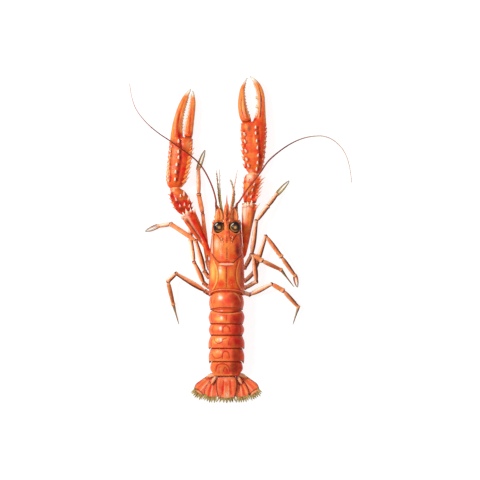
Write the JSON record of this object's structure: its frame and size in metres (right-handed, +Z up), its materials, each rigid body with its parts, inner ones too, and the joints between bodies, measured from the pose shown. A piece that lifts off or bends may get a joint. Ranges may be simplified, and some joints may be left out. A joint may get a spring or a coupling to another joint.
{
  "type": "norway lobster",
  "caption": "Whole cooked Norway lobster lying belly down, with long thorned claws, jointed walking legs, curving feelers, dark eyes and a fringed tail fan.",
  "frame": {"origin": "on the midline, in the flat underside of the breast plate that the lobster rests on, below the middle of the carapace", "axes": "+Y towards the head and claws, +Z up out of the back, +X to the lobster's own right, which is the picture's right"},
  "size_m": [0.1675, 0.246, 0.0249],
  "materials": {
    "shell": "orange-red shell, softly glossy, mottled lighter and darker",
    "claw": "deeper red shell with cream thorns and pale orange edges",
    "limb": "pale orange shell, darker at the joints, grey at the tips",
    "feeler": "red-brown, fading to pale pink at the tips",
    "eye": "wet black with a golden brown glow",
    "bristle": "dry olive-tan hairs",
    "belly": "pale orange underside"
  },
  "bodies": {
    "root": {"carapace": "shell", "tail_ring_1": "shell", "tail_ring_2": "shell", "tail_ring_3": "shell", "tail_ring_4": "shell", "tail_ring_5": "shell", "tail_ring_6": "shell", "telson": "shell", "fan_root_left": "shell", "fan_root_right": "shell", "fan_inner_left": "shell", "fan_inner_right": "shell", "fan_outer_left": "shell", "fan_outer_right": "shell", "scale_left": "shell", "scale_right": "shell", "bristles_telson": "bristle", "bristles_inner_left": "bristle", "bristles_inner_right": "bristle", "bristles_outer_left": "bristle", "bristles_outer_right": "bristle", "eye_left": "eye", "eye_right": "eye", "arm_left": "claw", "arm_right": "claw", "wrist_left": "claw", "wrist_right": "claw", "palm_left": "claw", "palm_right": "claw", "thumb_left": "claw", "thumb_right": "claw", "feeler_left": "feeler", "feeler_right": "feeler", "feelerette_left": "feeler", "feelerette_right": "feeler", "leg_2_left": "limb", "leg_3_left": "limb", "leg_4_left": "limb", "leg_5_left": "limb", "leg_2_right": "limb", "leg_3_right": "limb", "leg_4_right": "limb", "leg_5_right": "limb", "jaw_leg_left": "limb", "jaw_leg_right": "limb", "breast_plate": "belly", "swimmeret_1_left": "belly", "swimmeret_1_right": "belly", "swimmeret_2_left": "belly", "swimmeret_2_right": "belly", "swimmeret_3_left": "belly", "swimmeret_3_right": "belly", "swimmeret_4_left": "belly", "swimmeret_4_right": "belly", "swimmeret_5_left": "belly", "swimmeret_5_right": "belly"}
  },
  "joints": []
}
